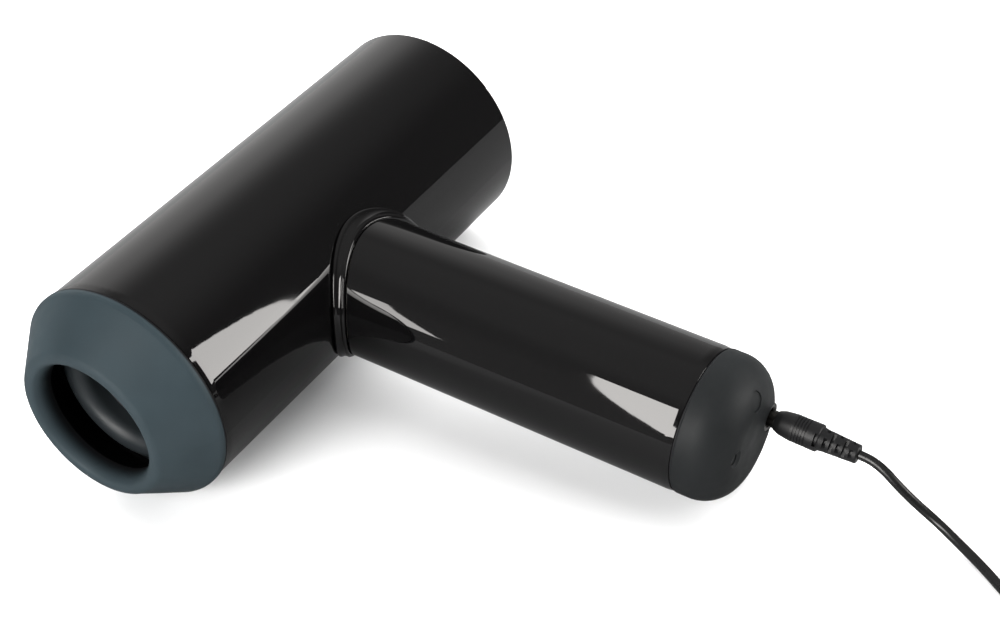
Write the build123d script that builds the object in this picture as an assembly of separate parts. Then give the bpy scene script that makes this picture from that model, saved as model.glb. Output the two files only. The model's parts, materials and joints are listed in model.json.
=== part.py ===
"""A cordless hair dryer lying on its side, with its charging lead plugged into the handle.

The dryer is drawn upright in its own working frame and then laid down. In the working frame the
barrel's axis is Y, with the nozzle towards -Y and the inlet towards +Y, the handle's axis is X,
and the two axes cross at (0, 0, 0). Laying it down turns it about the barrel's axis until the
handle's end touches the surface, and lifts it onto that surface, which is z = 0.
All sizes are in millimetres.
"""
from build123d import *
import math
import os

# ---- barrel ----
BARREL_R = 40.0
BARREL_WALL = 2.0
BARREL_BORE = BARREL_R - BARREL_WALL
BARREL_FRONT = -85.5
BARREL_REAR = 91.0
SEAM = 0.3                      # gap between neighbouring housing parts
EASE_DEPTH = 0.28               # the tubes' ends ease down by this much
EASE_LENGTH = 2.2               # over this length
EASE_ROUND = 12.0

# ---- nozzle cap ----
CAP_R = 40.4                    # the soft cap stands slightly proud of the barrel
CAP_WALL = 3.0
CAP_SHOULDER = -88.4
LIP_FRONT = -105.6
LIP_R = 27.6                    # where the cone would meet the front plane
LIP_BEAD = 3.2                  # radius of the rolled lip
LIP_INNER_R = 24.4              # where the lip turns in towards the throat
THROAT_R = 22.4
THROAT_FRONT = LIP_FRONT + 3.0
THROAT_REAR = LIP_FRONT + 7.2
SPIGOT_R = BARREL_BORE - 0.15
SPIGOT_REAR = -76.0

# ---- outlet ----
OUTLET_BORE = 17.5
BEAD_FRONT = -90.2
BEAD_OUTER = 25.6
RING_FACE = -83.2
GRILLE_FRONT = -82.0
GRILLE_REAR = -79.4

# ---- handle ----
HANDLE_R = 25.0
HANDLE_WALL = 2.0
HANDLE_BORE = HANDLE_R - HANDLE_WALL
HANDLE_SEAM = 167.2
HANDLE_END = 185.2
END_ROUND = 13.0                # edge rounding of the end cap
COLLAR_GAP = 0.3                # barrel surface to collar
COLLAR_TOP = 4.2                # barrel surface to the collar's handle side
COLLAR_R = 27.5
COLLAR_BORE = 23.4

# ---- neck ----
NECK_HOLE_R = 9.0
NECK_FLANGE_R = BARREL_R + 2.6  # outside of the flange that seats on the barrel
NECK_SCREWS = [(-14, -9), (-14, 9), (14, -9), (14, 9)]      # (y, z) of the four neck screws
NECK_SCREW_R = 1.25
NECK_HEAD_R = 2.2

# ---- heater ----
HEATER_R = 32.0
HEATER_WALL = 0.8
COIL_ROWS = [-50, -45, -40, -30, -25, -20, -10, -5, 0]
COIL_R = 25.0
COIL_WIRE_R = 0.4

# ---- fan and motor ----
SHROUD_R = 37.6
SHROUD_BORE = 35.2
FAN_TIP_R = 34.6
HUB_R = 13.5
HUB_WALL = 1.6
VANE_HUB_R = 16.6
SHAFT_R = 1.5
MOTOR_R = 13.0
MOTOR_WALL = 0.8
MOTOR_FRONT = 14.0
MOTOR_REAR = 46.0
CORE_FRONT = 21.0               # the stator's core and the magnet
CORE_REAR = 37.0
BEARING_R = 4.0
SLEEVES = [(17.0, 22.0), (34.0, 39.0)]

# ---- inlet ----
COVER_FRONT = 85.6
COVER_FACE = 88.4
COVER_REAR = 90.2
COVER_R = BARREL_BORE - 0.2
COVER_SCREW_R = 1.1
COVER_SCREW_RING = 33.6
COVER_SCREWS = [(COVER_SCREW_RING * math.cos(math.radians(angle)),
                 COVER_SCREW_RING * math.sin(math.radians(angle))) for angle in (60, 180, 300)]
HOLE_RINGS = 7
HOLE_PITCH = 4.3
HOLE_R = 1.45

# ---- controls ----
BUTTON_R = 4.6
BUTTON_TOP = 25.7
BUTTON_DISH = 20.0
SPEED_S = 68.0                  # along the handle
HEAT_S = 82.0
PANEL_S = (SPEED_S + HEAT_S) / 2
PANEL_HALF = 15.0
PANEL_WIDTH = 13.0
LIGHT_DOT_R = 0.6
LIGHT_ROWS = (-3.0, 0.0, 3.0)
BOARD_UNDER = 11.8
BOARD_TOP = 13.4

# ---- battery ----
CELL_R = 10.4
CELL_LENGTH = 70.0
CELL_START = 93.0
CELL_END = CELL_START + CELL_LENGTH
CELL_RING = 12.1                # the three cells' centres lie on this radius
CELL_ANGLES = (30, 150, 270)
HOLDER_START = CELL_START - 3.0
HOLDER_REAR_END = CELL_END + 1.4
CHARGE_TOP = HOLDER_REAR_END + 3.0

# ---- end of the handle ----
FACE_INNER = HANDLE_END - 3.0
SOCKET_Y = 12.3
SOCKET_HOLE_R = 4.9
SOCKET_SEAT = 176.3             # where the plug's barrel ends inside the socket
KEY_W = 16.5                    # W is the working frame's Z at the handle
KEY_R = 3.2
LIGHT_Y = -14.2
LIGHT_W = 3.2
LIGHT_R = 1.9

# ---- plug and lead ----
LEAD_R = 1.6
PLUG_FRONT = HANDLE_END + 1.8
PLUG_LENGTH = 28.8
PLUG_R = 4.7
PLUG_NOSE_R = 3.2
PLUG_DROOP = 1.3                # degrees; the lead's weight tips the plug in its socket
RIB_START = 7.2                 # lengths along the plug, from its front
RIB_PITCH = 1.0
RING_END = 15.7
WINDOW_CENTRE = 14.9
SLOT_WIDTH = 1.15
FOUR_WEB_SLOTS = (17.9, 22.3, 26.7)
TWO_WEB_SLOTS = (20.1, 24.5)
FOUR_WEB_TURN = 16.0            # degrees; where the webs stand
TWO_WEB_TURN = 45.0

# ---- lead, in the finished frame ----
TIE_THICK = 0.6
TIE_GAP = 0.25
COIL_CENTRE = (222.8, 12.9)
COIL_MID_R = 18.85
COIL_HALF = 7.2                 # half the width of the wound turns
COIL_TOP = TIE_THICK + 4 * LEAD_R
LEAD_ROUTE = [(142.248, 19.6, 20.149), (144.5, 19.6, 19.894), (146.9, 19.42, 19.44), (149.4, 19.04, 18.67),
              (152.4, 18.4, 17.3), (156.4, 17.6, 14.5), (162.3, 17.6, 9.7), (170.2, 17.0, 5.2),
              (179.2, 13.5, 2.5), (188.8, 8.05, 1.7), (200.0, -0.35, 1.85), (208.0, -6.5, 2.2)]
TAIL_ROUTE = [(237.65, 32.32, 5.4), (231.4, 37.1, 4.3), (225.5, 42.3, 4.3)]
USB_ANGLE = 138.6               # heading of the lead's far end

# ---- laid down ----
END_ARC_S = HANDLE_END - END_ROUND
END_ARC_R = HANDLE_R - END_ROUND


def lying_tilt():
    """Angle in radians at which the end cap's rounded edge reaches the surface."""
    reach = math.hypot(END_ARC_S, END_ARC_R)
    return math.asin((CAP_R - END_ROUND) / reach) - math.atan2(END_ARC_R, END_ARC_S)


TILT = lying_tilt()
X_LOW = -CAP_R
X_HIGH = END_ARC_S * math.cos(TILT) + END_ARC_R * math.sin(TILT) + END_ROUND
SHIFT = (-(X_LOW + X_HIGH) / 2, -(LIP_FRONT + BARREL_REAR) / 2, CAP_R)


def laid(shape):
    """Working frame to the finished frame: turned about the barrel's axis, then lifted."""
    return Pos(*SHIFT) * Rot(0, math.degrees(TILT), 0) * shape


# ---------------------------------------------------------------- helpers

def rod_x(radius, start, end, y=0.0, z=0.0):
    """Round bar along X."""
    bar = Cylinder(radius, end - start, align=(Align.CENTER, Align.CENTER, Align.MIN))
    return Pos(start, y, z) * Rot(0, 90, 0) * bar


def rod_y(radius, start, end, x=0.0, z=0.0):
    """Round bar along Y."""
    bar = Cylinder(radius, end - start, align=(Align.CENTER, Align.CENTER, Align.MIN))
    return Pos(x, start, z) * Rot(-90, 0, 0) * bar


def tube_x(outer, inner, start, end):
    return rod_x(outer, start, end) - rod_x(inner, start - 1, end + 1)


def tube_y(outer, inner, start, end):
    return rod_y(outer, start, end) - rod_y(inner, start - 1, end + 1)


def block(x, y, z):
    """Box from three (low, high) pairs."""
    sizes = [high - low for low, high in (x, y, z)]
    centre = [(high + low) / 2 for low, high in (x, y, z)]
    return Pos(*centre) * Box(*sizes)


def turned_y(outline):
    """Solid of revolution about Y from (radius, y, corner radius) points."""
    points = [(radius, y) for radius, y, corner in outline]
    corners = [corner for radius, y, corner in outline]
    return revolve(make_face(FilletPolyline(*points, radius=corners, close=True)), Axis.Y)


def turned_x(outline):
    """Solid of revolution about X from (x, radius, corner radius) points."""
    points = [(x, radius) for x, radius, corner in outline]
    corners = [corner for x, radius, corner in outline]
    return revolve(make_face(FilletPolyline(*points, radius=corners, close=True)), Axis.X)


def around_y(count, shape, start=0.0):
    """Copies of a shape, evenly spaced about Y."""
    return [Rot(0, start + 360 * i / count, 0) * shape for i in range(count)]


def around_x(count, shape, start=0.0):
    """Copies of a shape, evenly spaced about X."""
    return [Rot(start + 360 * i / count, 0, 0) * shape for i in range(count)]


def group(shapes):
    """Separate solids kept together in one node."""
    return Compound(children=[solid for shape in shapes for solid in shape.solids()])


def cut(shape, tools):
    for tool in tools:
        shape = shape - tool
    return shape


def joined(shapes):
    whole = shapes[0]
    for shape in shapes[1:]:
        whole = whole + shape
    return whole


def outside_barrel(shape, radius):
    """Trim a handle part to a saddle that follows the barrel at this radius."""
    return shape - rod_y(radius, -60, 60)


# ---------------------------------------------------------------- wires and leads

def arc_radii(points):
    """Bend radius at each inner point: 0.45 of the shorter run over tan(half the turn)."""
    radii = []
    for before, here, after in zip(points, points[1:], points[2:]):
        arriving = Vector(*here) - Vector(*before)
        leaving = Vector(*after) - Vector(*here)
        half_turn = math.radians(arriving.get_angle(leaving)) / 2
        radii.append(0.45 * min(arriving.length, leaving.length) / math.tan(half_turn))
    return radii


def round_wire(points, radius):
    """Round wire of straight runs joined by tangent arcs."""
    path = FilletPolyline(*points, radius=arc_radii(points))
    direction = Vector(*points[1]) - Vector(*points[0])
    section = Plane(origin=points[0], z_dir=direction) * Circle(radius)
    return sweep(section, path=path)


# ---------------------------------------------------------------- barrel and nozzle

def barrel_shell():
    """Tube whose front end eases down a little towards the seam."""
    shell = turned_y([(BARREL_BORE, BARREL_FRONT, 0), (BARREL_R - EASE_DEPTH, BARREL_FRONT, 0.2),
                      (BARREL_R, BARREL_FRONT + EASE_LENGTH, EASE_ROUND),
                      (BARREL_R, BARREL_REAR, 0.9), (BARREL_BORE, BARREL_REAR, 0.4)])
    holes = [rod_x(NECK_HOLE_R, 30, 45)]
    holes += [rod_x(NECK_SCREW_R + 0.1, 30, 45, y, z) for y, z in NECK_SCREWS]
    return cut(shell, holes)


def nozzle_cap():
    """Cone that turns in over a rolled lip to a round throat, with a spigot into the barrel."""
    inside_r = SPIGOT_R - CAP_WALL
    cone_back = CAP_SHOULDER + 3.6
    return turned_y([(SPIGOT_R, BARREL_FRONT - SEAM, 0), (CAP_R, BARREL_FRONT - SEAM, 0.5),
                     (CAP_R, CAP_SHOULDER, 3.0), (LIP_R, LIP_FRONT, LIP_BEAD),
                     (LIP_INNER_R, LIP_FRONT, 2.2), (THROAT_R, THROAT_FRONT, 6.0),
                     (THROAT_R, THROAT_REAR, 0), (THROAT_R + 2.6, THROAT_REAR + 0.8, 0.8),
                     (inside_r, cone_back, 0), (inside_r, SPIGOT_REAR, 0), (SPIGOT_R, SPIGOT_REAR, 0)])


def outlet_ring():
    """Annular bead with a rounded crest, set back inside the mouth."""
    seat_r = SPIGOT_R - CAP_WALL - 0.15
    return turned_y([(seat_r, SPIGOT_REAR, 0), (seat_r, RING_FACE, 0.5), (BEAD_OUTER + 2.8, RING_FACE, 2.0),
                     (BEAD_OUTER, BEAD_FRONT, 4.4), (OUTLET_BORE, BEAD_FRONT, 4.2),
                     (OUTLET_BORE, SPIGOT_REAR, 0)])


def outlet_funnel():
    """Draws the air in from the heater tube to the outlet ring."""
    wide = HEATER_R - HEATER_WALL
    return turned_y([(OUTLET_BORE, SPIGOT_REAR + SEAM, 0), (wide, -60.0, 6.0), (wide, -56.0, 0),
                     (wide + 2.0, -56.0, 0), (wide + 2.0, -60.8, 6.0),
                     (OUTLET_BORE + 2.0, SPIGOT_REAR + SEAM, 0)])


def outlet_grille():
    """Rings on six spokes, behind the outlet ring's bead."""
    radii = (OUTLET_BORE - 0.05, 13.2, 9.2, 5.2)
    rings = [tube_y(radius, radius - 1.2, GRILLE_FRONT, GRILLE_REAR) for radius in radii]
    spoke = block((4.4, OUTLET_BORE - 0.6), (GRILLE_FRONT + 0.3, GRILLE_REAR), (-0.6, 0.6))
    return joined(rings + around_y(6, spoke))


# ---------------------------------------------------------------- heater

def heater_tube():
    """Mica tube round the heating elements."""
    return tube_y(HEATER_R, HEATER_R - HEATER_WALL, -55.7, 7.0)


def heater_frame():
    """Two crossed mica boards with a notch for each turn of heating wire."""
    half = HEATER_R - 1.1
    board = block((-half, half), (-54, 5), (-0.4, 0.4))
    lightening = [rod_y(3.5, y, y + 7, 0, 0) for y in (-38, -18)]
    boards = joined([board, Rot(0, 90, 0) * board])
    notches = [Pos(0, y, 0) * Rot(90, 0, 0) * Torus(COIL_R, COIL_WIRE_R + 0.25) for y in COIL_ROWS]
    return cut(boards, notches + lightening)


def heater_coils():
    """Turns of heating wire, three banks of three."""
    return group([Pos(0, y, 0) * Rot(90, 0, 0) * Torus(COIL_R, COIL_WIRE_R) for y in COIL_ROWS])


def thermal_cutout():
    """Bimetal cutout and its two legs, between the boards."""
    body = block((8, 15), (-2.0, 6.0), (5, 9))
    legs = [block((9.2 + 3.6 * i, 10.2 + 3.6 * i), (6.0, 10.5), (6.8, 7.2)) for i in range(2)]
    return joined([body] + legs)


# ---------------------------------------------------------------- fan and motor

def fan_shroud():
    """Tube round the fan, with bosses for the inlet's screws and a hole at the neck."""
    shroud = tube_y(SHROUD_R, SHROUD_BORE, 8.0, 82.0)
    funnel_lip = tube_y(SHROUD_BORE + 0.2, HEATER_R + 0.3, 8.0, 10.0)
    bosses = around_y(3, rod_y(2.6, 70.0, 82.0, COVER_SCREW_RING), 60)
    pilots = around_y(3, rod_y(COVER_SCREW_R, 71.0, 83.0, COVER_SCREW_RING), 60)
    neck_holes = [rod_x(NECK_HOLE_R, 30, 45)]
    neck_holes += [rod_x(NECK_SCREW_R + 0.1, 30, 45, y, z) for y, z in NECK_SCREWS if y > 0]
    return cut(joined([shroud, funnel_lip] + bosses), pilots + neck_holes)


def blade(root_r, tip_r, chord, root_angle, tip_angle, thickness):
    """Twisted blade along X, its chord turned from the Y axis, rounded at both edges."""
    sections = []
    for radius, angle in ((root_r, root_angle), (tip_r, tip_angle)):
        face = Plane(origin=(radius, 0, 0), x_dir=(0, 1, 0), z_dir=(1, 0, 0))
        sections.append(face * Rot(0, 0, angle) * SlotOverall(chord, thickness))
    return loft(sections)


def stator_vanes():
    """Hub that carries the motor, held in the shroud by nine straightening vanes."""
    hub = tube_y(VANE_HUB_R + 1.6, VANE_HUB_R, 12.0, 42.0)
    vane = Pos(0, 27, 0) * blade(VANE_HUB_R + 0.8, SHROUD_BORE + 0.3, 22.0, 20, 26, 1.3)
    trimmed = [part & rod_y(SHROUD_BORE - 0.05, 12, 42) for part in around_y(9, vane, 20)]
    return cut(joined([hub] + trimmed), [rod_y(VANE_HUB_R, 11, 43)])


def motor_sleeves():
    """Two rubber sleeves between the motor and its hub."""
    return group([tube_y(VANE_HUB_R - 0.02, MOTOR_R + 0.02, start, end) for start, end in SLEEVES])


def motor_can():
    """Drawn can with six vents in its front, open towards the fan."""
    inside_r = MOTOR_R - MOTOR_WALL
    can = turned_y([(BEARING_R, MOTOR_FRONT, 0), (MOTOR_R, MOTOR_FRONT, 1.0), (MOTOR_R, MOTOR_REAR, 0),
                    (inside_r, MOTOR_REAR, 0), (inside_r, MOTOR_FRONT + 1.2, 0.4),
                    (BEARING_R, MOTOR_FRONT + 1.2, 0)])
    vent = block((6, 10), (MOTOR_FRONT - 1, MOTOR_FRONT + 1.1), (-1.2, 1.2))
    return cut(can, around_y(6, vent, 30))


def motor_end_bell():
    """Closes the can at the fan end and holds the rear bearing."""
    edge_r = MOTOR_R - MOTOR_WALL - 0.05
    plate = turned_y([(BEARING_R + 0.05, 43.0, 0), (5.6, 43.0, 0), (5.6, 44.6, 0), (edge_r, 44.6, 0),
                      (edge_r, MOTOR_REAR, 0), (BEARING_R + 0.05, MOTOR_REAR, 0)])
    return cut(plate, around_y(6, rod_y(1.2, 42, 47, 9, 0)))


def motor_stator():
    """Laminated core with six poles."""
    core = tube_y(MOTOR_R - MOTOR_WALL - 0.05, 10.6, CORE_FRONT, CORE_REAR)
    pole = block((6.4, 10.8), (CORE_FRONT, CORE_REAR), (-1.2, 1.2))
    return joined([core] + around_y(6, pole))


def stator_windings():
    """Copper winding round each pole."""
    outer = block((7.0, 10.2), (CORE_FRONT - 1.4, CORE_REAR + 1.4), (-2.6, 2.6))
    inner = block((6.0, 11.0), (CORE_FRONT - 0.1, CORE_REAR + 0.1), (-1.25, 1.25))
    return group(around_y(6, outer - inner))


def motor_bearings():
    """Front and rear bearings, each a plain ring of its outer race."""
    return group([tube_y(BEARING_R, SHAFT_R + 0.04, start, start + 3.0)
                  for start in (MOTOR_FRONT, MOTOR_REAR - 3.0)])


def rotor_shaft():
    return rod_y(SHAFT_R, 13.0, 66.5)


def rotor_magnet():
    return tube_y(5.8, SHAFT_R, CORE_FRONT, CORE_REAR)


def impeller():
    """Nine twisted blades on a hollow hub with a domed nose towards the inlet."""
    inside_r = HUB_R - HUB_WALL
    hub = turned_y([(SHAFT_R, 64.0, 0), (SHAFT_R, 66.6, 0), (0, 66.6, 0), (0, 72.0, 0),
                    (HUB_R, 72.0, 9.0), (HUB_R, 50.0, 0), (inside_r, 50.0, 0), (inside_r, 64.0, 3.0)])
    sleeve = tube_y(4.0, SHAFT_R, 52.0, 66.5)
    vane = Pos(0, 58.5, 0) * blade(HUB_R - 0.8, FAN_TIP_R + 0.4, 17.0, 48, 62, 1.4)
    trimmed = [part & rod_y(FAN_TIP_R, 40, 80) for part in around_y(9, vane)]
    return cut(joined([hub, sleeve] + trimmed), [rod_y(inside_r, 45, 63.9) - rod_y(4.0, 44, 65)])


# ---------------------------------------------------------------- inlet

def filter_frame():
    """Ring and three ribs that hold the filter cloth."""
    ring = tube_y(COVER_R, 34.8, 82.3, 84.6)
    rib = block((0, 35.4), (82.9, 84.0), (-0.8, 0.8))
    eyes = around_y(3, rod_y(3.4, 82.3, 84.6, COVER_SCREW_RING), 60)
    holes = around_y(3, rod_y(COVER_SCREW_R + 0.3, 82, 85, COVER_SCREW_RING), 60)
    return cut(joined([ring] + around_y(3, rib) + eyes), holes)


def filter_mesh():
    """Disc of woven cloth between the frame and the cover."""
    mesh = rod_y(COVER_R, 84.8, 85.3)
    return cut(mesh, around_y(3, rod_y(COVER_SCREW_R + 0.3, 84, 86, COVER_SCREW_RING), 60))


def rear_cover():
    """Inlet cover: rings of round holes inside a raised rim, fixed by three screws."""
    disc = turned_y([(0, COVER_FRONT, 0), (COVER_R, COVER_FRONT, 0), (COVER_R, COVER_REAR, 0.6),
                     (35.8, COVER_REAR, 0.8), (34.6, COVER_FACE, 0.8), (0, COVER_FACE, 0)])
    holes = []
    for ring in range(1, HOLE_RINGS + 1):
        radius = 2.4 + HOLE_PITCH * ring
        for i in range(6 * ring):
            angle = math.radians(60 * i / ring)
            x, z = radius * math.cos(angle), radius * math.sin(angle)
            if min(math.hypot(x - sx, z - sz) for sx, sz in COVER_SCREWS) > 5.4:
                holes.append(rod_y(HOLE_R, 84, 90, x, z))
    seats = [rod_y(2.7, COVER_FACE, 95, x, z) for x, z in COVER_SCREWS]
    drilled = [rod_y(COVER_SCREW_R + 0.2, 84, 90, x, z) for x, z in COVER_SCREWS]
    return cut(disc, holes + seats + drilled)


def cover_screws():
    """Pan-head screws with a cross recess."""
    head = rod_y(2.1, COVER_FACE, COVER_FACE + 1.5)
    shank = rod_y(COVER_SCREW_R, 76.0, COVER_FACE + 0.1)
    slots = [block((-1.3, 1.3), (89.1, 90.5), (-0.3, 0.3)), block((-0.3, 0.3), (89.1, 90.5), (-1.3, 1.3))]
    screw = Pos(COVER_SCREW_RING, 0, 0) * cut(head + shank, slots)
    return group(around_y(3, screw, 60))


# ---------------------------------------------------------------- neck and collar

def collar_ring():
    """Saddle-shaped trim ring of two beads with a groove between them."""
    bands = [(COLLAR_GAP, 1.9, COLLAR_R), (1.9, 2.5, COLLAR_R - 0.9), (2.5, COLLAR_TOP, COLLAR_R - 0.9)]
    rings = []
    for low, high, radius in bands:
        ring = tube_x(radius, COLLAR_BORE, 28, 48)
        shell = rod_y(BARREL_R + high, -32, 32) - rod_y(BARREL_R + low, -33, 33)
        rings.append(ring & shell & block((20, 60), (-40, 40), (-40, 40)))
    return joined(rings)


def neck_seat(y):
    """Where a screw's head sits on the saddle flange."""
    return math.sqrt(NECK_FLANGE_R ** 2 - y ** 2)


def neck_plate():
    """Saddle flange that seats on the barrel and carries the handle's frame."""
    flange = rod_x(22.9, 30, 44) & (rod_y(NECK_FLANGE_R, -30, 30) - rod_y(BARREL_R + 0.2, -31, 31))
    sleeve = outside_barrel(tube_x(20.4, 18.4, 34, 58), BARREL_R + 0.2)
    holes = [rod_x(NECK_HOLE_R, 30, 60)]
    for y, z in NECK_SCREWS:
        holes.append(rod_x(NECK_SCREW_R + 0.15, 30, 50, y, z))
        holes.append(rod_x(NECK_HEAD_R + 0.25, neck_seat(y), 60, y, z))
    return cut(flange + sleeve, holes)


def neck_screws():
    """Four slotted screws through the flange into the barrel."""
    screws = []
    for y, z in NECK_SCREWS:
        seat = neck_seat(y)
        head = rod_x(NECK_HEAD_R, seat, seat + 1.6, y, z)
        shank = rod_x(NECK_SCREW_R, seat - 6.6, seat + 0.1, y, z)
        slot = block((seat + 0.8, seat + 2), (y - 1.4, y + 1.4), (z - 0.3, z + 0.3))
        screws.append(head + shank - slot)
    return group(screws)


# ---------------------------------------------------------------- handle

def racetrack(width, length, low, high):
    """Prism along Y with a racetrack outline, centred on the control panel."""
    sketch = Plane(origin=(PANEL_S, low, 0), x_dir=(1, 0, 0), z_dir=(0, 1, 0)) * SlotOverall(length, width)
    return extrude(sketch, amount=high - low)


def handle_tube():
    """Tube that meets the collar in a saddle and eases down towards the end cap."""
    tube = turned_x([(28, HANDLE_BORE, 0), (28, HANDLE_R, 0),
                     (HANDLE_SEAM - EASE_LENGTH, HANDLE_R, EASE_ROUND),
                     (HANDLE_SEAM, HANDLE_R - EASE_DEPTH, 0.2), (HANDLE_SEAM, HANDLE_BORE, 0)])
    tube = outside_barrel(tube, BARREL_R + COLLAR_TOP + SEAM)
    return tube - racetrack(PANEL_WIDTH, 2 * PANEL_HALF + 2, 10, 30)


def control_panel():
    """Curved racetrack plate let into the handle, with the holes of two buttons and three lights."""
    plate = tube_x(HANDLE_R - 0.1, HANDLE_R - 1.7, PANEL_S - 20, PANEL_S + 20)
    plate = plate & racetrack(PANEL_WIDTH - 0.3, 2 * PANEL_HALF + 1.7, 15, 30)
    holes = [rod_y(BUTTON_R + 0.2, 15, 30, s, 0) for s in (SPEED_S, HEAT_S)]
    holes += [rod_y(LIGHT_DOT_R + 0.02, 15, 30, PANEL_S, z) for z in LIGHT_ROWS]
    return cut(plate, holes)


def speed_lights():
    """Three small light guides between the buttons."""
    guides = [rod_y(LIGHT_DOT_R, 21.6, 24.6, PANEL_S, z) for z in LIGHT_ROWS]
    bar = block((PANEL_S - 0.8, PANEL_S + 0.8), (20.6, 21.8), (-4, 4))
    return joined(guides + [bar])


def button(s):
    """Round key with a dished top and a retaining flange under the panel."""
    top = turned_y([(0, 18.4, 0), (1.6, 18.4, 0), (1.6, 20.6, 0), (BUTTON_R + 0.9, 20.6, 0),
                    (BUTTON_R + 0.9, 21.6, 0), (BUTTON_R, 21.6, 0), (BUTTON_R, BUTTON_TOP, 0.7),
                    (0, BUTTON_TOP, 0)])
    dish = Pos(0, BUTTON_TOP + BUTTON_DISH - 0.6, 0) * Sphere(BUTTON_DISH)
    return Pos(s, 0, 0) * (top - dish)


def speed_button():
    return button(SPEED_S)


def heat_button():
    return button(HEAT_S)


def control_frame():
    """Half-round tray from the neck to the cells; the control board sits on its rails."""
    shell = tube_x(HANDLE_BORE - 0.3, HANDLE_BORE - 1.8, 58.4, 87.0) - block((50, 95), (4, 30), (-30, 30))
    rails = [block((59, 86.6), (4, 11.6), (side * 18.6 - 0.8, side * 18.6 + 0.8)) for side in (-1, 1)]
    shelf = [block((59, 86.6), (3.0, 4.6), (side * 19.6 - 2.4, side * 19.6 + 2.4)) for side in (-1, 1)]
    limit = rod_x(HANDLE_BORE - 0.3, 58, 88)
    return joined([shell] + [part & limit for part in rails + shelf])


def control_board():
    board = block((59.5, 88.0), (BOARD_UNDER, BOARD_TOP), (-18.2, 18.2))
    return cut(board, [rod_y(1.2, 11, 14, x, z) for x in (61.5, 86.0) for z in (-14.2, 14.2)])


def button_switches():
    """Tactile switch under each button; the plungers stand just clear of the button stems."""
    switches = []
    for s in (SPEED_S, HEAT_S):
        body = block((s - 3, s + 3), (BOARD_TOP, BOARD_TOP + 3.4), (-3, 3))
        switches.append(body + rod_y(1.3, BOARD_TOP + 3.3, BOARD_TOP + 4.1, s, 0))
    return group(switches)


def board_parts():
    """Larger components of the control board and of the charge board."""
    under = [block((62 + 7 * i, 67 + 7 * i), (9.6, BOARD_UNDER), (-9, -3)) for i in range(3)]
    coil = rod_y(4.4, 6.6, BOARD_UNDER, 80, 6)
    capacitors = [rod_y(2.6, 5.6, BOARD_UNDER, 64 + 7 * i, 6) for i in range(2)]
    chips = [block((CHARGE_TOP, CHARGE_TOP + 1.4), (y, y + 5), (-12, -6)) for y in (-9, 1)]
    return group(under + [coil] + capacitors + chips)


# ---------------------------------------------------------------- battery

def cell_centre(angle):
    return CELL_RING * math.cos(math.radians(angle)), CELL_RING * math.sin(math.radians(angle))


def battery_cells():
    """Three round cells side by side, each with a raised button at one end."""
    cells = []
    for angle in CELL_ANGLES:
        y, z = cell_centre(angle)
        can = rod_x(CELL_R, CELL_START, CELL_END, y, z)
        cells.append(can + rod_x(3.2, CELL_START - 0.4, CELL_START + 0.1, y, z))
    return group(cells)


def cell_holder(start, end, face, direction):
    """End plate with three shallow cups; windows let the tabs reach the cells."""
    disc = rod_x(21.6, start, end)
    cups = []
    for angle in CELL_ANGLES:
        y, z = cell_centre(angle)
        low, high = sorted((face, face + direction * 20))
        cups.append(rod_x(CELL_R + 0.1, low, high, y, z))
        cups.append(rod_x(6.5, start - 1, end + 1, y, z))
    return cut(disc, cups + [rod_x(1.55, start - 1, end + 1)])


def cell_holder_front():
    return cell_holder(HOLDER_START, CELL_START + 4, CELL_START - 0.5, 1)


def cell_holder_rear():
    return cell_holder(CELL_END - 4, HOLDER_REAR_END, CELL_END + 0.1, -1)


def cell_tie_rod():
    """Threaded rod through the gap between the cells, with a nut at each end."""
    rod = rod_x(1.5, HOLDER_START - 3.2, HOLDER_REAR_END + 2.6)
    ends = ((HOLDER_START - 2.2, HOLDER_START), (HOLDER_REAR_END, HOLDER_REAR_END + 2.2))
    nuts = []
    for low, high in ends:
        hexagon = Plane(origin=(low, 0, 0), x_dir=(0, 1, 0), z_dir=(1, 0, 0)) * RegularPolygon(2.9, 6)
        nuts.append(extrude(hexagon, amount=high - low))
    return joined([rod] + nuts)


def nickel_tabs():
    """Tab on each cell's end, inside the holder's window."""
    tabs = []
    for angle in CELL_ANGLES:
        y, z = cell_centre(angle)
        tabs.append(rod_x(4.2, CELL_START - 0.7, CELL_START - 0.45, y, z))
        tabs.append(rod_x(4.2, CELL_END + 0.05, CELL_END + 0.3, y, z))
    return group(tabs)


def charge_board():
    board = rod_x(20.0, CHARGE_TOP - 1.4, CHARGE_TOP)
    return cut(board, [rod_x(3.4, 160, 170), rod_x(1.5, 160, 170, -12, -12)])


# ---------------------------------------------------------------- handle end

def end_form(inset):
    """Solid of the rounded handle end, drawn in by an even distance."""
    return turned_x([(165, 0, 0), (HANDLE_END - inset, 0, 0),
                     (HANDLE_END - inset, HANDLE_R - inset, END_ROUND - inset), (165, HANDLE_R - inset, 0)])


def end_cap():
    """Soft-touch cap with a rounded edge; openings for the socket, the key and the charge light."""
    seam = HANDLE_SEAM + SEAM + 0.1
    spigot_r = HANDLE_BORE - 0.1
    cap = turned_x([(FACE_INNER, 0, 0), (HANDLE_END, 0, 0), (HANDLE_END, HANDLE_R, END_ROUND),
                    (seam, HANDLE_R, 0.8), (seam, spigot_r, 0), (seam - 2.8, spigot_r, 0),
                    (seam - 2.8, spigot_r - 1.6, 0), (FACE_INNER, spigot_r - 1.6, 9.0)])
    boss = rod_x(KEY_R + 1.9, 174.4, 183.0, 0, KEY_W) & end_form(1.0)
    light_dish = Pos(HANDLE_END + 5.6, LIGHT_Y, LIGHT_W) * Sphere(6.6)
    holes = [rod_x(SOCKET_HOLE_R, 176, 190, SOCKET_Y, 0), rod_x(KEY_R + 0.15, 170, 190, 0, KEY_W),
             rod_x(LIGHT_R + 0.03, 170, 190, LIGHT_Y, LIGHT_W), light_dish]
    return cut(cap + boss, holes)


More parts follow.
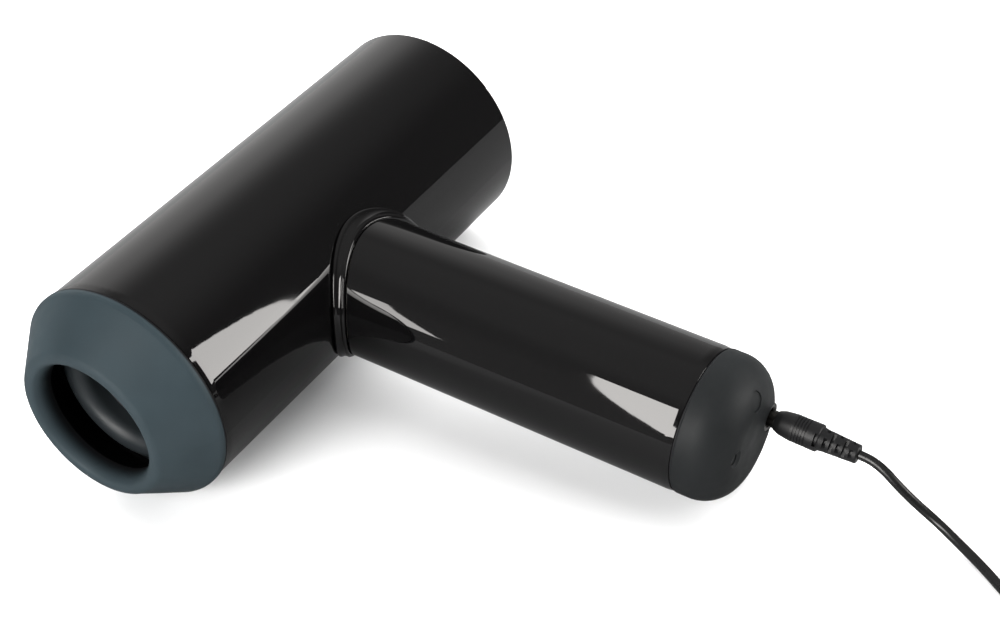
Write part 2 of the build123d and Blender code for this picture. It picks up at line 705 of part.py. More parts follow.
def cap_seal():
    """Rubber ring that fills the joint, set back from the surface."""
    return tube_x(HANDLE_R - 0.9, HANDLE_BORE - 0.05, HANDLE_SEAM, HANDLE_SEAM + SEAM + 0.1)


def socket_bezel():
    """Turned metal ring round the socket's mouth."""
    outside_r = SOCKET_HOLE_R - 0.05
    ring = turned_x([(181.5, 3.4, 0), (181.5, outside_r, 0), (HANDLE_END - 0.15, outside_r, 0.2),
                     (HANDLE_END - 0.15, 3.8, 0.2), (184.4, 3.4, 0)])
    return Pos(0, SOCKET_Y, 0) * ring


def dc_socket():
    """Round power socket with a centre pin."""
    body = block((170.6, 180.4), (SOCKET_Y - 4.2, SOCKET_Y + 4.2), (-4.4, 4.4))
    body = body - rod_x(2.95, 172.4, 190, SOCKET_Y, 0)
    pin = rod_x(0.95, 172.0, 180.0, SOCKET_Y, 0)
    legs = [block((168.6, 170.7), (y - 0.4, y + 0.4), (-1.4, 1.4)) for y in (SOCKET_Y - 3, SOCKET_Y + 3)]
    return joined([body, pin] + legs)


def power_key():
    """Small round key that follows the rounded edge, with a flange that keeps it in."""
    stem = rod_x(KEY_R, 172.1, 190.0, 0, KEY_W) & end_form(0.4)
    return stem + rod_x(KEY_R + 1.0, 173.2, 174.1, 0, KEY_W)


def key_switch():
    """Tactile switch behind the key, on the charge board."""
    body = block((CHARGE_TOP, CHARGE_TOP + 3.0), (-3, 3), (KEY_W - 3, KEY_W + 3))
    return body + rod_x(1.2, CHARGE_TOP + 2.9, CHARGE_TOP + 3.8, 0, KEY_W)


def light_lens():
    return rod_x(LIGHT_R, 180.6, HANDLE_END - 1.05, LIGHT_Y, LIGHT_W)


# ---------------------------------------------------------------- internal wiring

def motor_wires():
    """Two wires from the control board through the neck to the motor's end."""
    wires = []
    for z in (-1.6, 1.6):
        wires.append(round_wire([(57, 9, z), (50, 7, z * 1.2), (43, 4, z * 1.6), (36.5, -1, z * 2),
                                 (33.6, -5, z * 2)], 0.8))
    return group(wires)


# ---------------------------------------------------------------- plug

def drooped(shape):
    """Places a piece drawn about the plug's own axis, tipped down about its seat in the socket."""
    return Pos(SOCKET_SEAT, SOCKET_Y, 0) * Rot(0, PLUG_DROOP, 0) * Pos(-SOCKET_SEAT, 0, 0) * shape


def relief_slot(centre, web_turns, web_width):
    """Ring-shaped slot round the strain relief, left bridged by webs at the given angles."""
    start, end = centre - SLOT_WIDTH / 2, centre + SLOT_WIDTH / 2
    web = block((start, end), (-6, 6), (-web_width / 2, web_width / 2))
    return cut(tube_x(6, LEAD_R + 0.6, start, end), [Rot(turn, 0, 0) * web for turn in web_turns])


def ring_window():
    """Pair of shallow windows in the plain ring."""
    start, end = WINDOW_CENTRE - SLOT_WIDTH / 2, WINDOW_CENTRE + SLOT_WIDTH / 2
    span = Rot(FOUR_WEB_TURN + 135, 0, 0) * block((start, end), (-6, 6), (-2.2, 2.2))
    return tube_x(6, PLUG_R - 1.2, start, end) & span


def plug_body():
    """Overmould: rounded nose, a fine-ribbed grip, a plain ring, then a slotted strain relief."""
    outline = [(0, 0, 0), (0, PLUG_NOSE_R, 0.6), (2.3, 4.1, 3.0), (6.3, PLUG_R - 0.08, 0),
               (RING_END, PLUG_R, 0.6), (RING_END, 4.0, 0), (18.0, 3.75, 0), (PLUG_LENGTH, 3.2, 0.6),
               (PLUG_LENGTH, 0, 0)]
    ribs = [RIB_START + RIB_PITCH * i for i in range(5)]
    tools = [tube_x(6, PLUG_R - 0.4, start, start + 0.45) for start in ribs]
    tools += [relief_slot(centre, (FOUR_WEB_TURN, FOUR_WEB_TURN + 90), 2.3) for centre in FOUR_WEB_SLOTS]
    tools += [relief_slot(centre, (TWO_WEB_TURN,), 4.0) for centre in TWO_WEB_SLOTS]
    return drooped(Pos(PLUG_FRONT, 0, 0) * cut(turned_x(outline), tools + [ring_window()]))


def plug_barrel():
    """Metal sleeve of the plug, seated in the socket."""
    sleeve = tube_x(2.75, 1.15, SOCKET_SEAT, PLUG_FRONT)
    collar = tube_x(2.95, 2.5, PLUG_FRONT - 0.8, PLUG_FRONT)
    return drooped(sleeve + collar)


# ---------------------------------------------------------------- lead, in the finished frame

def lead_tube():
    print("lead bend radii, mm:", [round(r, 1) for r in arc_radii(LEAD_ROUTE)])
    return round_wire(LEAD_ROUTE, LEAD_R)


def lead_tail():
    print("tail bend radii, mm:", [round(r, 1) for r in arc_radii(TAIL_ROUTE)])
    return round_wire(TAIL_ROUTE, LEAD_R)


def lead_coil():
    """Outer shape of the wound lead."""
    inner, outer = COIL_MID_R - COIL_HALF, COIL_MID_R + COIL_HALF
    outline = [(inner, TIE_THICK), (outer, TIE_THICK), (outer, COIL_TOP), (inner, COIL_TOP)]
    profile = Plane.XZ * make_face(FilletPolyline(*outline, radius=LEAD_R * 0.95, close=True))
    return Pos(*COIL_CENTRE, 0) * revolve(profile, Axis.Z)


def coil_tie():
    """Band round the turns, on the far side."""
    inner, outer = COIL_MID_R - COIL_HALF - TIE_GAP, COIL_MID_R + COIL_HALF
    band = block((inner - TIE_THICK, outer + TIE_THICK), (-2, 2), (0, COIL_TOP + TIE_THICK))
    band = band - block((inner, outer), (-3, 3), (TIE_THICK, COIL_TOP))
    return Pos(*COIL_CENTRE, 0) * Rot(0, 0, -30) * band


def at_usb_plug(shape):
    """Places a piece drawn along X from the end of the lead."""
    return Pos(*TAIL_ROUTE[-1]) * Rot(0, 0, USB_ANGLE) * shape


def usb_body():
    """Overmould with a ribbed strain relief."""
    grip = Pos(19, 0, 0) * fillet(Box(20, 12, 8.2).edges().filter_by(Axis.X), 2.2)
    relief = turned_x([(0, 0, 0), (0, LEAD_R + 0.8, 0.3), (9.5, 3.6, 0), (9.5, 0, 0)])
    grooves = [tube_x(6, LEAD_R + 0.5, 1.4 + 1.9 * i, 2.2 + 1.9 * i) for i in range(4)]
    return at_usb_plug(grip + cut(relief, grooves) - block((26.5, 40), (-6.1, 6.1), (-2.4, 2.4)))


def usb_shell():
    shell = block((26.7, 41), (-6, 6), (-2.25, 2.25)) - block((27.3, 42), (-5.7, 5.7), (-1.95, 1.95))
    return at_usb_plug(cut(shell, [block((34, 36.4), (y - 1.2, y + 1.2), (-3, 3)) for y in (-3, 3)]))


def usb_tongue():
    return at_usb_plug(block((27.4, 40.2), (-5.5, 5.5), (-1.85, -0.05)))


# ---------------------------------------------------------------- every node

LAID_DOWN = [barrel_shell, nozzle_cap, outlet_ring, outlet_funnel, outlet_grille,
             heater_tube, heater_frame, heater_coils, thermal_cutout,
             fan_shroud, stator_vanes, motor_sleeves, motor_can, motor_end_bell, motor_stator,
             stator_windings, motor_bearings, rotor_shaft, rotor_magnet, impeller,
             filter_frame, filter_mesh, rear_cover, cover_screws,
             collar_ring, neck_plate, neck_screws, handle_tube, control_panel, speed_lights,
             speed_button, heat_button, control_frame, control_board, button_switches, board_parts,
             battery_cells, cell_holder_front, cell_holder_rear, cell_tie_rod, nickel_tabs,
             charge_board, end_cap, cap_seal, socket_bezel, dc_socket, power_key, key_switch,
             light_lens, motor_wires, plug_body, plug_barrel]
ON_THE_SURFACE = [lead_tube, lead_coil, lead_tail, coil_tie, usb_body, usb_shell, usb_tongue]


def main():
    os.makedirs("parts", exist_ok=True)
    for make in LAID_DOWN:
        export_step(laid(make()), f"parts/{make.__name__}.step")
    for make in ON_THE_SURFACE:
        export_step(make(), f"parts/{make.__name__}.step")


main()
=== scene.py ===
"""Looks of a cordless hair dryer lying on a white table with its charging lead plugged in."""
import json
import math
import bmesh
import bpy
from mathutils import Matrix, Vector


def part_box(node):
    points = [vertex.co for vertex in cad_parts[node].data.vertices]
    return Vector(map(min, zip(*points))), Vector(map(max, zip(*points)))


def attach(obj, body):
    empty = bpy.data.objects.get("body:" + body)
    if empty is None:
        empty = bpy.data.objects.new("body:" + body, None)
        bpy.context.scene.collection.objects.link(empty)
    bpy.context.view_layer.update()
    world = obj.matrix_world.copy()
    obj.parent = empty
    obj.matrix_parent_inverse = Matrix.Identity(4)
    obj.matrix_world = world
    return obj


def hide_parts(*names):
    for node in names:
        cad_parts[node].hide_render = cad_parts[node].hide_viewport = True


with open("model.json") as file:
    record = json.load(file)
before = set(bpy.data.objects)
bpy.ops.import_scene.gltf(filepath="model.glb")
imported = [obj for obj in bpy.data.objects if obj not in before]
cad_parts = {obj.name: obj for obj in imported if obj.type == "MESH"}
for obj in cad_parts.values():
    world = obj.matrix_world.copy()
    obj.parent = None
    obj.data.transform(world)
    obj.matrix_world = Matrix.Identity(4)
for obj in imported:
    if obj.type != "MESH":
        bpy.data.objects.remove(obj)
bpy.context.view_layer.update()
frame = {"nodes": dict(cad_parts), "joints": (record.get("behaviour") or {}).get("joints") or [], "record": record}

MM = 0.001

# ---- the dryer's own axes, read from the frame ----
barrel_low, barrel_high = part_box("barrel_shell")
cap_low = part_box("nozzle_cap")[0]
MOUTH_TO_HANDLE = 105.6 * MM     # from the nozzle's front to the handle's axis
CENTRE = Vector(((barrel_low.x + barrel_high.x) / 2, 0.0, (barrel_low.z + barrel_high.z) / 2))
KEY_AXIS = next(j["axis"] for j in frame["joints"] if j["name"] == "power_key_press")
HANDLE_DIR = -Vector(KEY_AXIS).normalized()
CROSSING = Vector((CENTRE.x, cap_low.y + MOUTH_TO_HANDLE, CENTRE.z))
ALONG_Y = Vector((0, 1, 0))
HANDLE_UP = HANDLE_DIR.cross(ALONG_Y).normalized()


def handle_point(s, y, w):
    """Point at s along the handle, y across it and w up from its axis, in metres from millimetres."""
    return CROSSING + (HANDLE_DIR * s + ALONG_Y * y + HANDLE_UP * w) * MM


# ---------------------------------------------------------------- camera, light and table

CAMERA_PLACE = Vector((0.29196, -0.37943, 0.41398))
CAMERA_HEADING = -35.30          # degrees from +Y towards +X
CAMERA_PITCH = -38.05
CAMERA_ROLL = -5.82
CAMERA_LENS = 64.59
TARGET = Vector((0, 0, 0.03))
CARD_DISTANCE = 1.2              # metres from the target, like the sizes of the fill boxes
FILL_DISTANCE = 1.6
FILL_SIZE = 1.2
WARM_WHITE = (1.0, 0.975, 0.95)
ROOM_TINT = (1.0, 0.985, 0.975)
DIM_ROOM = 0.11
PALE_CEILING = 0.38
WHITE_WALL = 0.85
WALL_FAR_SIDE = 0.25             # how much of the wall's brightness is left at its far end
TABLE_HALF = 8.0                 # metres
TABLE_GREY = 0.88
MIRRORED_GREY = 0.30
MIRRORED_DROP = 0.5 * MM


def make_camera():
    camera = bpy.data.objects.new("camera", bpy.data.cameras.new("camera"))
    bpy.context.scene.collection.objects.link(camera)
    turn = (Matrix.Rotation(math.radians(-CAMERA_HEADING), 4, "Z")
            @ Matrix.Rotation(math.radians(90 + CAMERA_PITCH), 4, "X")
            @ Matrix.Rotation(math.radians(CAMERA_ROLL), 4, "Z"))
    camera.matrix_world = Matrix.Translation(CAMERA_PLACE) @ turn
    camera.data.lens = CAMERA_LENS
    camera.data.sensor_width = 36.0
    camera.data.clip_start = 0.01
    bpy.context.scene.camera = camera
    bpy.context.scene.view_settings.view_transform = "Standard"


def direction(azimuth, elevation):
    """Unit vector; azimuth is from +Y towards +X."""
    a, e = math.radians(azimuth), math.radians(elevation)
    return Vector((math.sin(a) * math.cos(e), math.cos(a) * math.cos(e), math.sin(e)))


def soft_card(name, azimuth, elevation, left, right, low, high, radiance, roll=0.0):
    """Soft box seen only in reflections: a rectangle of a plane CARD_DISTANCE away, given in mm."""
    normal = direction(azimuth, elevation)
    across = normal.cross(Vector((0, 0, 1))).normalized()
    upward = across.cross(normal).normalized()
    width, height = (right - left) * MM, (high - low) * MM
    lamp = bpy.data.lights.new(name, "AREA")
    lamp.shape = "RECTANGLE"
    lamp.size = width
    lamp.size_y = height
    lamp.energy = radiance * math.pi * width * height
    lamp.color = WARM_WHITE
    holder = bpy.data.objects.new(name, lamp)
    bpy.context.scene.collection.objects.link(holder)
    middle = across * (left + right) / 2 * MM + upward * (low + high) / 2 * MM
    place = Matrix((across, upward, normal)).transposed().to_4x4()
    place.translation = TARGET + normal * CARD_DISTANCE + middle
    holder.matrix_world = place @ Matrix.Rotation(math.radians(roll), 4, "Z")
    holder.visible_diffuse = False


def fill_box(name, azimuth, elevation, power):
    """Large box that lights the surfaces but isn't seen in them."""
    lamp = bpy.data.lights.new(name, "AREA")
    lamp.size = FILL_SIZE
    lamp.energy = power
    holder = bpy.data.objects.new(name, lamp)
    bpy.context.scene.collection.objects.link(holder)
    holder.location = TARGET + direction(azimuth, elevation) * FILL_DISTANCE
    holder.rotation_euler = (TARGET - holder.location).to_track_quat("-Z", "Y").to_euler()
    holder.visible_glossy = False


def sky_fill(name, azimuth, elevation, strength, spread):
    """Even, very soft light from a wide patch of sky, so that the far table stays pale."""
    lamp = bpy.data.lights.new(name, "SUN")
    lamp.energy = strength
    lamp.angle = math.radians(spread)
    holder = bpy.data.objects.new(name, lamp)
    bpy.context.scene.collection.objects.link(holder)
    holder.rotation_euler = (-direction(azimuth, elevation)).to_track_quat("-Z", "Y").to_euler()
    holder.visible_glossy = False


def make_room():
    """Room for the reflections: a white wall behind on the left, dim elsewhere, pale overhead.

    It doesn't light matt surfaces. A low camera sees it past the table, with a hard edge towards -Y.
    """
    world = bpy.data.worlds.new("room")
    bpy.context.scene.world = world
    world.use_nodes = True
    world.cycles_visibility.diffuse = False
    nodes, links = world.node_tree.nodes, world.node_tree.links

    def calculate(operation, first, second=None):
        node = nodes.new("ShaderNodeMath")
        node.operation = operation
        for socket, value in zip(node.inputs, (first, second)):
            if isinstance(value, (int, float)):
                socket.default_value = value
            elif value is not None:
                links.new(value, socket)
        return node.outputs["Value"]

    def step(value, start, end, low, high):
        node = nodes.new("ShaderNodeMapRange")
        node.interpolation_type = "SMOOTHSTEP"
        node.inputs["From Min"].default_value = math.radians(start)
        node.inputs["From Max"].default_value = math.radians(end)
        node.inputs["To Min"].default_value = low
        node.inputs["To Max"].default_value = high
        links.new(value, node.inputs["Value"])
        return node.outputs["Result"]

    place = nodes.new("ShaderNodeTexCoord")
    split = nodes.new("ShaderNodeSeparateXYZ")
    links.new(place.outputs["Generated"], split.inputs["Vector"])
    elevation = calculate("ARCSINE", split.outputs["Z"])
    azimuth = calculate("ARCTAN2", split.outputs["X"], split.outputs["Y"])
    overhead = step(elevation, 30, 66, DIM_ROOM, PALE_CEILING)
    near_end = step(azimuth, -50, 6, WHITE_WALL, 0.0)
    far_end = step(azimuth, -120, -75, WALL_FAR_SIDE, 1.0)
    top_edge = step(elevation, 26, 56, 1.0, 0.0)
    wall = calculate("MULTIPLY", calculate("MULTIPLY", near_end, far_end), top_edge)
    links.new(calculate("ADD", overhead, wall), nodes["Background"].inputs["Strength"])
    nodes["Background"].inputs["Color"].default_value = (*ROOM_TINT, 1)


def make_lights():
    soft_card("right_card", 60, 10, -115, 260, -185, 520, 10.5)
    soft_card("right_card_wing", 60, 10, -225, -116, -185, -120, 10.5)
    soft_card("front_card", -170, 22, -260, 100, -374, 560, 13.0, roll=-6.0)
    soft_card("front_strip", -152, 15, -45, 12, -116, 274, 9.0, roll=-13.0)
    fill_box("front_fill", 180, 22, 58)
    fill_box("left_fill", -60, 22, 58)
    fill_box("back_fill", 20, 22, 36)
    sky_fill("top_fill", -20, 62, 2.8, 70)
    fill_box("right_fill", 70, 22, 22)


def flat_sheet(name, x, y, height, grey, roughness):
    """Level rectangle of a plain matt material, from (low, high) pairs in metres."""
    mesh = bpy.data.meshes.new(name)
    corners = [(x[0], y[0], height), (x[1], y[0], height), (x[1], y[1], height), (x[0], y[1], height)]
    mesh.from_pydata(corners, [], [(0, 1, 2, 3)])
    sheet = bpy.data.objects.new(name, mesh)
    bpy.context.scene.collection.objects.link(sheet)
    material = bpy.data.materials.new(name)
    material.use_nodes = True
    shader = material.node_tree.nodes["Principled BSDF"]
    shader.inputs["Base Color"].default_value = (grey, grey, grey, 1)
    shader.inputs["Roughness"].default_value = roughness
    shader.inputs["Specular IOR Level"].default_value = 0.0
    mesh.materials.append(material)
    return sheet


def make_table():
    """White table top, and a duller, smaller one just below it that only reflections see."""
    reach = (-TABLE_HALF, TABLE_HALF)
    top = flat_sheet("table", reach, reach, 0.0, TABLE_GREY, 0.7)
    top.visible_glossy = False
    top.visible_shadow = False
    mirrored = flat_sheet("table_in_reflections", (-1.2, 0.36), (-0.34, 1.2), -MIRRORED_DROP,
                          MIRRORED_GREY, 0.9)
    mirrored.visible_camera = False
    mirrored.visible_diffuse = False
    mirrored.visible_shadow = False


# ---------------------------------------------------------------- the lead

LEAD_R = 1.6 * MM                # the routes and coil sizes below are in mm
LEAD_ROUTE = [(142.248, 19.6, 20.149), (144.5, 19.6, 19.894), (146.9, 19.42, 19.44), (149.4, 19.04, 18.67),
              (152.4, 18.4, 17.3), (156.4, 17.6, 14.5), (162.3, 17.6, 9.7), (170.2, 17.0, 5.2),
              (179.2, 13.5, 2.5), (188.8, 8.05, 1.7), (200.0, -0.35, 1.85), (208.0, -6.5, 2.2)]
TAIL_ROUTE = [(237.65, 32.32, 5.4), (231.4, 37.1, 4.3), (225.5, 42.3, 4.3)]
COIL_CENTRE = (222.8, 12.9)
COIL_OUTER = 24.45
COIL_INNER = 13.25
COIL_LOW = 2.2
COIL_HIGH = 5.4
COIL_START = -127.4              # degrees, where the lead joins the coil
TURNS_IN = 3.5
TURNS_UP = 0.5
TURNS_OUT = 3.5
POINTS_PER_TURN = 24


def coil_points():
    """Turns wound inwards on the table, then outwards on top of them."""
    turns = TURNS_IN + TURNS_UP + TURNS_OUT
    count = round(turns * POINTS_PER_TURN)
    points = []
    for i in range(1, count):
        wound = turns * i / count
        angle = math.radians(COIL_START + 360 * wound)
        inward = min(wound, TURNS_IN) / TURNS_IN
        outward = max(0.0, wound - TURNS_IN - TURNS_UP) / TURNS_OUT
        lift = min(max((wound - TURNS_IN) / TURNS_UP, 0.0), 1.0)
        radius = COIL_OUTER + (COIL_INNER - COIL_OUTER) * (inward - outward)
        height = COIL_LOW + (COIL_HIGH - COIL_LOW) * (3 * lift ** 2 - 2 * lift ** 3)
        points.append((COIL_CENTRE[0] + radius * math.cos(angle),
                       COIL_CENTRE[1] + radius * math.sin(angle), height))
    return points


def make_lead(material):
    """One curve from the plug to the far plug: the free stretch, the coil and the tail."""
    curve = bpy.data.curves.new("lead", "CURVE")
    curve.dimensions = "3D"
    curve.bevel_depth = LEAD_R
    curve.bevel_resolution = 5
    curve.use_fill_caps = True
    curve.resolution_u = 8
    route = LEAD_ROUTE + coil_points() + TAIL_ROUTE
    spline = curve.splines.new("NURBS")
    spline.points.add(len(route) - 1)
    for point, place in zip(spline.points, route):
        point.co = (place[0] * MM, place[1] * MM, place[2] * MM, 1)
    spline.order_u = 3
    spline.use_endpoint_u = True
    lead = bpy.data.objects.new("lead", curve)
    bpy.context.scene.collection.objects.link(lead)
    curve.materials.append(material)
    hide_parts("lead_tube", "lead_coil", "lead_tail")
    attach(lead, "housing")
    return lead


# ---------------------------------------------------------------- collar

COLLAR_BORE = 23.5               # mm, like the sizes below
BARREL_R = 40.0
COLLAR_STEPS = 192


def arc(centre_r, centre_g, radius, start, end, steps=8):
    """Points of an arc in the collar's section: radius from the handle's axis, gap from the barrel."""
    angles = [math.radians(start + (end - start) * i / steps) for i in range(steps + 1)]
    return [(centre_r + radius * math.cos(a), centre_g + radius * math.sin(a)) for a in angles]


def collar_section():
    """Two rounded rims with a shallow hollow between them, then the flat back."""
    low_rim = arc(26.75, 1.05, 0.72, -90, 52)
    hollow = arc(28.9, 3.25, 2.55, 218, 170)
    high_rim = arc(25.72, 3.72, 0.46, 0, 90)
    return [(COLLAR_BORE, 0.33)] + low_rim + hollow + high_rim + [(COLLAR_BORE, 4.18)]


def make_collar(material):
    """Ring that follows the barrel: each point's distance from the barrel's axis is kept round it."""
    section = collar_section()
    shape = bmesh.new()
    loops = []
    for i in range(COLLAR_STEPS):
        turn = 2 * math.pi * i / COLLAR_STEPS
        loop = []
        for radius, gap in section:
            y, w = radius * math.cos(turn), radius * math.sin(turn)
            s = math.sqrt((BARREL_R + gap) ** 2 - w ** 2)
            loop.append(shape.verts.new(handle_point(s, y, w)))
        loops.append(loop)
    for loop, following in zip(loops, loops[1:] + loops[:1]):
        for j in range(len(section)):
            k = (j + 1) % len(section)
            shape.faces.new((loop[j], loop[k], following[k], following[j]))
    bmesh.ops.recalc_face_normals(shape, faces=shape.faces)
    mesh = bpy.data.meshes.new("collar")
    shape.to_mesh(mesh)
    shape.free()
    mesh.shade_smooth()
    mesh.materials.append(material)
    collar = bpy.data.objects.new("collar", mesh)
    bpy.context.scene.collection.objects.link(collar)
    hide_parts("collar_ring")
    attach(collar, "housing")


# ---------------------------------------------------------------- materials

SLATE = (0.0175, 0.0260, 0.0302)
# Painted shade inside the nozzle's mouth: the wall behind the lip is darkened to near black.
MOUTH_SHADE_DEPTH = 1.6 * MM          # from the lip's front to where it starts to darken
MOUTH_SHADE_FADE = 4.6 * MM           # from there to the full painted shade, near black
MOUTH_SHADE_FLARE = 0.744             # how fast the cone widens behind the lip
MOUTH_SHADE_EDGE = 0.4 * MM           # width of the blend at the painted shade's outer limit
MOUTH_SHADE_BLACK = (0.003, 0.003, 0.0035)
MOUTH_SHADE_RADIUS = 26.2 * MM        # of a cone through the nozzle's wall, at the lip's front


def shader_of(material):
    return material.node_tree.nodes["Principled BSDF"]


def plain_material(name, colour, roughness, metallic=0.0, **sockets):
    """Material with a Principled shader; other uniform values go straight on its sockets."""
    material = bpy.data.materials.new(name)
    material.use_nodes = True
    shader = shader_of(material)
    shader.inputs["Base Color"].default_value = (*colour, 1)
    shader.inputs["Roughness"].default_value = roughness
    shader.inputs["Metallic"].default_value = metallic
    for socket, value in sockets.items():
        shader.inputs[socket.replace("_", " ")].default_value = value
    return material


def noise(material, scale, detail=4.0, roughness=0.5, stretch=(1, 1, 1)):
    """Noise over the piece's own metres; stretch squeezes it along an axis."""
    nodes, links = material.node_tree.nodes, material.node_tree.links
    place = nodes.new("ShaderNodeTexCoord")
    mapping = nodes.new("ShaderNodeMapping")
    mapping.inputs["Scale"].default_value = stretch
    texture = nodes.new("ShaderNodeTexNoise")
    texture.inputs["Scale"].default_value = scale
    texture.inputs["Detail"].default_value = detail
    texture.inputs["Roughness"].default_value = roughness
    links.new(place.outputs["Object"], mapping.inputs["Vector"])
    links.new(mapping.outputs["Vector"], texture.inputs["Vector"])
    return texture.outputs["Fac"]


def ranged(material, value, low, high, start=0.3, end=0.7):
    """Maps a value from start..end to low..high."""
    node = material.node_tree.nodes.new("ShaderNodeMapRange")
    node.inputs["From Min"].default_value = start
    node.inputs["From Max"].default_value = end
    node.inputs["To Min"].default_value = low
    node.inputs["To Max"].default_value = high
    material.node_tree.links.new(value, node.inputs["Value"])
    return node.outputs["Result"]


def vary_roughness(material, value):
    material.node_tree.links.new(value, shader_of(material).inputs["Roughness"])


def vary_colour(material, value, dark, light):
    ramp = material.node_tree.nodes.new("ShaderNodeMix")
    ramp.data_type = "RGBA"
    ramp.inputs["A"].default_value = (*dark, 1)
    ramp.inputs["B"].default_value = (*light, 1)
    material.node_tree.links.new(value, ramp.inputs["Factor"])
    material.node_tree.links.new(ramp.outputs["Result"], shader_of(material).inputs["Base Color"])


def bump(material, value, strength, distance):
    """Adds a bump to whatever bump the shader already has."""
    nodes, links = material.node_tree.nodes, material.node_tree.links
    node = nodes.new("ShaderNodeBump")
    node.inputs["Strength"].default_value = strength
    node.inputs["Distance"].default_value = distance
    links.new(value, node.inputs["Height"])
    normal = shader_of(material).inputs["Normal"]
    if normal.links:
        links.new(normal.links[0].from_socket, node.inputs["Normal"])
    links.new(node.outputs["Normal"], normal)


def gloss_black():
    """Polished black plastic: a faint moulding ripple under a mirror finish with slight wipe marks."""
    material = plain_material("gloss_black", (0.0018, 0.0017, 0.0018), 0.03)
    vary_roughness(material, ranged(material, noise(material, 55, 5), 0.018, 0.04))
    bump(material, noise(material, 140, 1), 1.0, 0.006 * MM)
    return material


def soft_touch(name, colour, grain=2600):
    """Rubbery coating: fine grain, slight mottling and worn-smooth patches."""
    light = tuple(min(1.0, c * 1.12) for c in colour)
    dark = tuple(c * 0.88 for c in colour)
    material = plain_material(name, colour, 0.55, Specular_IOR_Level=0.16)
    vary_colour(material, ranged(material, noise(material, 45, 6), 0.0, 1.0), dark, light)
    vary_roughness(material, ranged(material, noise(material, 90, 4), 0.48, 0.62))
    bump(material, noise(material, grain, 3), 0.10, 0.06 * MM)
    return material


def slate_soft():
    """Soft-touch blue-grey, with painted shade darkening it to near black just inside the nozzle's lip."""
    material = soft_touch("slate_soft", SLATE)
    nodes, links = material.node_tree.nodes, material.node_tree.links
    place = nodes.new("ShaderNodeTexCoord")
    split = nodes.new("ShaderNodeSeparateXYZ")
    links.new(place.outputs["Object"], split.inputs["Vector"])
    start = cap_low.y + MOUTH_SHADE_DEPTH
    inside = ranged(material, split.outputs["Y"], 0.0, 1.0, start, start + MOUTH_SHADE_FADE)
    flat = nodes.new("ShaderNodeVectorMath")
    flat.operation = "DISTANCE"
    flat.inputs[1].default_value = (CENTRE.x, 0, CENTRE.z)
    level = nodes.new("ShaderNodeCombineXYZ")
    links.new(split.outputs["X"], level.inputs["X"])
    links.new(split.outputs["Z"], level.inputs["Z"])
    links.new(level.outputs["Vector"], flat.inputs[0])
    depth = nodes.new("ShaderNodeMath")
    depth.operation = "MULTIPLY_ADD"
    depth.inputs[1].default_value = -MOUTH_SHADE_FLARE
    links.new(split.outputs["Y"], depth.inputs[0])
    links.new(flat.outputs["Value"], depth.inputs[2])
    limit = MOUTH_SHADE_RADIUS - MOUTH_SHADE_FLARE * cap_low.y
    near_axis = ranged(material, depth.outputs["Value"], 1.0, 0.0, limit, limit + MOUTH_SHADE_EDGE)
    both = nodes.new("ShaderNodeMath")
    both.operation = "MULTIPLY"
    links.new(inside, both.inputs[0])
    links.new(near_axis, both.inputs[1])
    shader = shader_of(material)
    # painted shade: the wall inside the mouth fades to near black
    mouth_shade = nodes.new("ShaderNodeMix")
    mouth_shade.data_type = "RGBA"
    mouth_shade.inputs["B"].default_value = (*MOUTH_SHADE_BLACK, 1)
    links.new(shader.inputs["Base Color"].links[0].from_socket, mouth_shade.inputs["A"])
    links.new(both.outputs["Value"], mouth_shade.inputs["Factor"])
    links.new(mouth_shade.outputs["Result"], shader.inputs["Base Color"])
    return material


def moulded(name, colour, roughness=0.4, grain=1500, **sockets):
    """Matt moulded plastic with a spark-eroded grain."""
    material = plain_material(name, colour, roughness, **sockets)
    vary_roughness(material, ranged(material, noise(material, 160, 4), roughness - 0.06, roughness + 0.08))
    bump(material, noise(material, grain, 4), 0.12, 0.08 * MM)
    return material


def metal(name, colour, roughness=0.28, stretch=(1, 1, 1)):
    """Metal with fine turning or drawing marks along one axis."""
    material = plain_material(name, colour, roughness, metallic=1.0)
    marks = noise(material, 900, 6, 0.6, stretch)
    vary_roughness(material, ranged(material, marks, roughness - 0.08, roughness + 0.12))
    bump(material, marks, 0.08, 0.05 * MM)
    return material


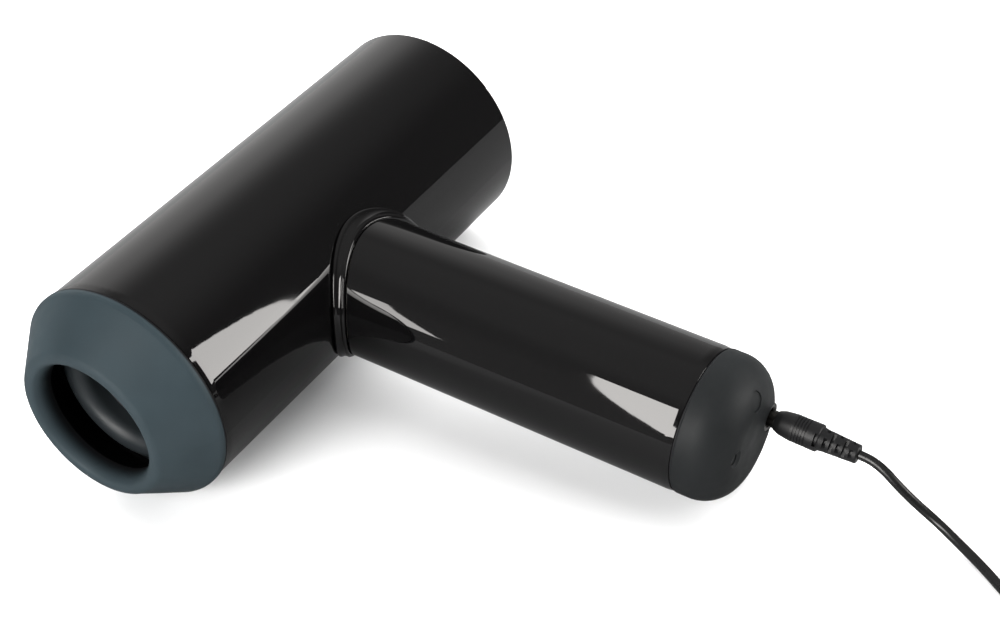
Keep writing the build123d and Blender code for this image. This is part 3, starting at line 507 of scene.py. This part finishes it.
def make_materials():
    return {
        "gloss_black": gloss_black(),
        "slate_soft": slate_soft(),
        "charcoal_soft": soft_touch("charcoal_soft", (0.0080, 0.0088, 0.0092)),
        "outlet_ring": moulded("outlet_ring", (0.009, 0.0115, 0.013), 0.5),
        "dark_plastic": moulded("dark_plastic", (0.02, 0.02, 0.022)),
        "natural_plastic": moulded("natural_plastic", (0.50, 0.48, 0.42)),
        "mica": moulded("mica", (0.50, 0.42, 0.30), 0.5, 500),
        "heating_wire": metal("heating_wire", (0.45, 0.42, 0.38), 0.35),
        "fan_plastic": moulded("fan_plastic", (0.05, 0.055, 0.06)),
        "motor_steel": metal("motor_steel", (0.55, 0.55, 0.56), 0.30, (1, 8, 1)),
        "silicon_steel": metal("silicon_steel", (0.32, 0.32, 0.34), 0.4, (1, 12, 1)),
        "copper": metal("copper", (0.72, 0.32, 0.16), 0.3, (1, 12, 1)),
        "magnet": metal("magnet", (0.12, 0.12, 0.13), 0.5),
        "black_rubber": soft_touch("black_rubber", (0.014, 0.014, 0.015)),
        "filter_cloth": metal("filter_cloth", (0.20, 0.20, 0.21), 0.5),
        "screw_steel": metal("screw_steel", (0.30, 0.30, 0.31), 0.35),
        "board_green": moulded("board_green", (0.02, 0.12, 0.06), 0.3, 400),
        "component_black": moulded("component_black", (0.03, 0.03, 0.03)),
        "cell_wrap": moulded("cell_wrap", (0.05, 0.18, 0.35), 0.25, 300),
        "nickel": metal("nickel", (0.50, 0.48, 0.45), 0.28, (1, 8, 1)),
        # painted shade: the socket's metal is darkened far below nickel to stand for the shade in the gap between
        # plug and cap
        "dark_nickel": metal("dark_nickel", (0.07, 0.068, 0.064), 0.3),
        "light_guide": moulded("light_guide", (0.0085, 0.0094, 0.0098), 0.55,
                               Specular_IOR_Level=0.2),
        "lead_black": moulded("lead_black", (0.005, 0.005, 0.005), 0.26, 700,
                              Specular_IOR_Level=0.4),
        "plug_black": moulded("plug_black", (0.005, 0.005, 0.0053), 0.42, 1800,
                              Specular_IOR_Level=0.34),
        "wire_jacket": moulded("wire_jacket", (0.35, 0.02, 0.02), 0.3, 500),
    }


def dress_nodes(materials):
    """Gives each CAD node that still shows the full material of its slot."""
    slots = {part["node"]: part["material_slot"] for part in frame["record"]["subparts"]}
    for name, node in frame["nodes"].items():
        node.data.materials.clear()
        node.data.materials.append(materials[slots[name]])


# ---------------------------------------------------------------- put it together

make_camera()
materials = make_materials()
lead = make_lead(materials["lead_black"])
dress_nodes(materials)
make_collar(materials["gloss_black"])
make_room()
make_lights()
make_table()
